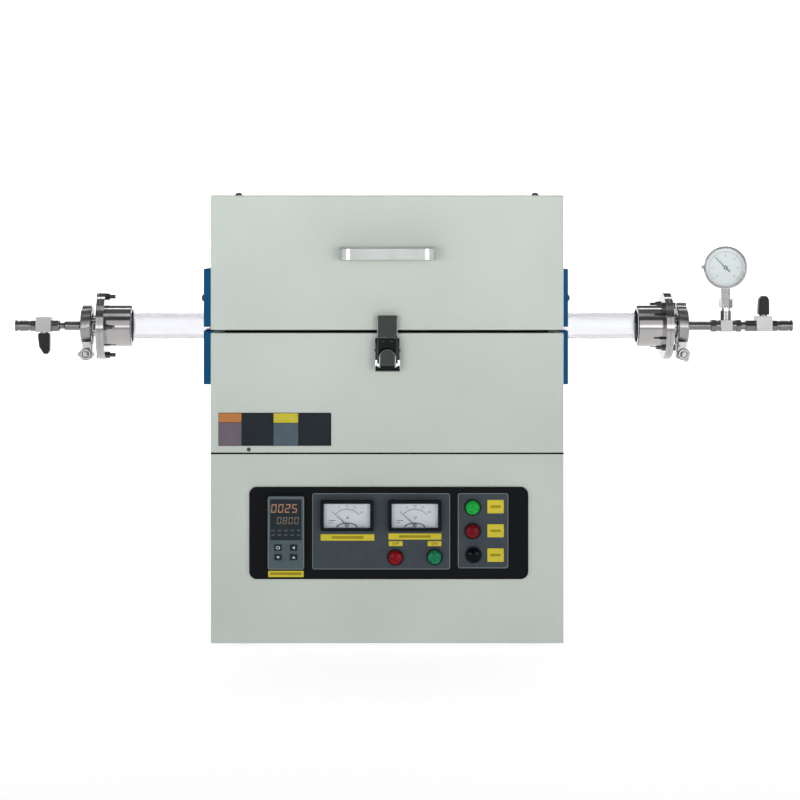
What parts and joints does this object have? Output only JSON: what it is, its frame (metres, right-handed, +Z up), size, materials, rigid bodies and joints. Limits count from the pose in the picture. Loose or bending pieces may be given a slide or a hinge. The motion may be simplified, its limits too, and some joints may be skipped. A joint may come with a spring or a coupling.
{
  "type": "tube furnace",
  "caption": "Split tube furnace: a hinged lid over a quartz work tube with sealed end flanges, gas valves and a gauge, on a cabinet with its controls.",
  "frame": {"origin": "middle of the whole object's footprint, gas fittings and handle included, at the height of the feet's undersides; the cabinet's own middle is 27.4 mm to -X and 11 mm to +Y of it", "axes": "+Z up, -Y towards the operator (the panel's side), +X to the operator's right, along the work tube"},
  "size_m": [1.0938, 0.408, 0.6014],
  "materials": {
    "casing_paint": "satin",
    "zinc_sheet": "satin",
    "rubber": "matte",
    "blue_paint": "satin",
    "fibre": "matte",
    "heating_wire": "matte",
    "satin_aluminium": "satin",
    "latch_steel": "polished",
    "plated_steel": "satin",
    "stainless": "satin",
    "quartz": "gloss",
    "clear_glass": "gloss",
    "black_panel": "satin",
    "grey_panel": "satin",
    "grey_plastic": "satin",
    "dark_window": "gloss",
    "key_plastic": "satin",
    "black_plastic": "satin",
    "black_gloss": "gloss",
    "dial_white": "matte",
    "needle_black": "satin",
    "red_lens": "gloss",
    "green_lens": "gloss"
  },
  "bodies": {
    "furnace_base": {"base_pan": "zinc_sheet", "button_bezels": "black_plastic", "cabinet_rear_panel": "casing_paint", "cabinet_shell": "casing_paint", "case_screws": "plated_steel", "control_plate": "black_panel", "controller_case": "grey_plastic", "controller_window": "dark_window", "fan_housing": "black_plastic", "flange_bolts": "plated_steel", "flange_end_plates": "stainless", "flange_o_rings": "rubber", "flange_sleeves": "stainless", "gas_pipes": "stainless", "gauge_case": "stainless", "hinge_lower_leaves": "plated_steel", "hinge_pins": "plated_steel", "latch_base": "latch_steel", "lower_furnace_shell": "casing_paint", "lower_heating_element": "heating_wire", "lower_insulation": "fibre", "lower_port_covers": "blue_paint", "meter_cases": "black_plastic", "meter_dials": "dial_white", "meter_glasses": "clear_glass", "panel_overlays": "grey_panel", "pilot_lamps": "green_lens", "pipe_clamps": "satin_aluminium", "power_inlet": "black_plastic", "power_regulator": "satin_aluminium", "quartz_tube": "quartz", "rubber_feet": "rubber", "thermocouple": "stainless", "tube_plugs": "fibre", "valve_bodies": "stainless"},
    "lid": {"lid_shell": "casing_paint", "upper_insulation": "fibre", "upper_heating_element": "heating_wire", "upper_port_covers": "blue_paint", "lid_handle": "satin_aluminium", "hinge_upper_leaves": "plated_steel", "latch_keeper": "latch_steel", "lid_screws": "plated_steel"},
    "latch_lever": {"latch_lever": "latch_steel"},
    "latch_hook": {"latch_hook": "latch_steel"},
    "stop_button": {"stop_button": "red_lens"},
    "start_button": {"start_button": "green_lens"},
    "black_button": {"black_button": "black_gloss"},
    "key_set": {"key_set": "key_plastic"},
    "key_shift": {"key_shift": "key_plastic"},
    "key_down": {"key_down": "key_plastic"},
    "key_up": {"key_up": "key_plastic"},
    "ammeter_needle": {"ammeter_needle": "needle_black"},
    "voltmeter_needle": {"voltmeter_needle": "needle_black"},
    "gauge_pointer": {"gauge_pointer": "needle_black"},
    "valve_lever_left": {"valve_lever_left": "black_plastic"},
    "valve_lever_right": {"valve_lever_right": "black_plastic"},
    "clamp_nut_left": {"clamp_nut_left": "satin_aluminium"},
    "clamp_nut_right": {"clamp_nut_right": "satin_aluminium"},
    "fan_rotor": {"fan_rotor": "black_plastic"}
  },
  "joints": [
    {"name": "lid_hinge", "type": "hinge", "parent": "furnace_base", "child": "lid", "pos_m": [-0.0274, 0.198, 0.4176], "axis": [-1, 0, 0], "range_deg": [0, 95]},
    {"name": "latch_lever_swing", "type": "hinge", "parent": "furnace_base", "child": "latch_lever", "pos_m": [-0.0274, -0.178, 0.393], "axis": [-1, 0, 0], "range_deg": [0, 100]},
    {"name": "latch_hook_swing", "type": "hinge", "parent": "latch_lever", "child": "latch_hook", "pos_m": [-0.0274, -0.175, 0.384], "axis": [-1, 0, 0], "range_deg": [-110, 0]},
    {"name": "stop_button_press", "type": "slide", "parent": "furnace_base", "child": "stop_button", "axis": [0, 1, 0], "range_m": [0, 0.0015], "stiffness_N_per_m": 900},
    {"name": "start_button_press", "type": "slide", "parent": "furnace_base", "child": "start_button", "axis": [0, 1, 0], "range_m": [0, 0.0015], "stiffness_N_per_m": 900},
    {"name": "black_button_press", "type": "slide", "parent": "furnace_base", "child": "black_button", "axis": [0, 1, 0], "range_m": [0, 0.0015], "stiffness_N_per_m": 900},
    {"name": "key_set_press", "type": "slide", "parent": "furnace_base", "child": "key_set", "axis": [0, 1, 0], "range_m": [0, 0.0007], "stiffness_N_per_m": 700},
    {"name": "key_shift_press", "type": "slide", "parent": "furnace_base", "child": "key_shift", "axis": [0, 1, 0], "range_m": [0, 0.0007], "stiffness_N_per_m": 700},
    {"name": "key_down_press", "type": "slide", "parent": "furnace_base", "child": "key_down", "axis": [0, 1, 0], "range_m": [0, 0.0007], "stiffness_N_per_m": 700},
    {"name": "key_up_press", "type": "slide", "parent": "furnace_base", "child": "key_up", "axis": [0, 1, 0], "range_m": [0, 0.0007], "stiffness_N_per_m": 700},
    {"name": "ammeter_needle_turn", "type": "hinge", "parent": "furnace_base", "child": "ammeter_needle", "pos_m": [-0.0805, -0.176, 0.163], "axis": [0, 1, 0], "range_deg": [0, 96], "stiffness_Nm_per_rad": 0.0005},
    {"name": "voltmeter_needle_turn", "type": "hinge", "parent": "furnace_base", "child": "voltmeter_needle", "pos_m": [0.0088, -0.176, 0.163], "axis": [0, 1, 0], "range_deg": [0, 96], "stiffness_Nm_per_rad": 0.0005},
    {"name": "gauge_pointer_turn", "type": "hinge", "parent": "furnace_base", "child": "gauge_pointer", "pos_m": [0.45145, 0.00019, 0.4995], "axis": [0.1865, 0.9825, 0], "range_deg": [-90, 180], "stiffness_Nm_per_rad": 0.001},
    {"name": "valve_lever_left_turn", "type": "hinge", "parent": "furnace_base", "child": "valve_lever_left", "pos_m": [-0.50655, 0.011, 0.4176], "axis": [0, 0, 1], "range_deg": [0, 90]},
    {"name": "valve_lever_right_turn", "type": "hinge", "parent": "furnace_base", "child": "valve_lever_right", "pos_m": [0.50635, 0.011, 0.4176], "axis": [0, 0, 1], "range_deg": [0, 90]},
    {"name": "clamp_nut_left_turn", "type": "hinge", "parent": "furnace_base", "child": "clamp_nut_left", "pos_m": [-0.4454, -0.009, 0.3786], "axis": [0, 1, 0], "continuous": true},
    {"name": "clamp_nut_right_turn", "type": "hinge", "parent": "furnace_base", "child": "clamp_nut_right", "pos_m": [0.3906, -0.009, 0.3786], "axis": [0, 1, 0], "continuous": true},
    {"name": "fan_spin", "type": "hinge", "parent": "furnace_base", "child": "fan_rotor", "pos_m": [0.0926, 0.171, 0.15], "axis": [0, 1, 0], "continuous": true}
  ],
  "couplings": [
    {"joint": "latch_hook_swing", "follows": "latch_lever_swing", "ratio": -1.1}
  ]
}
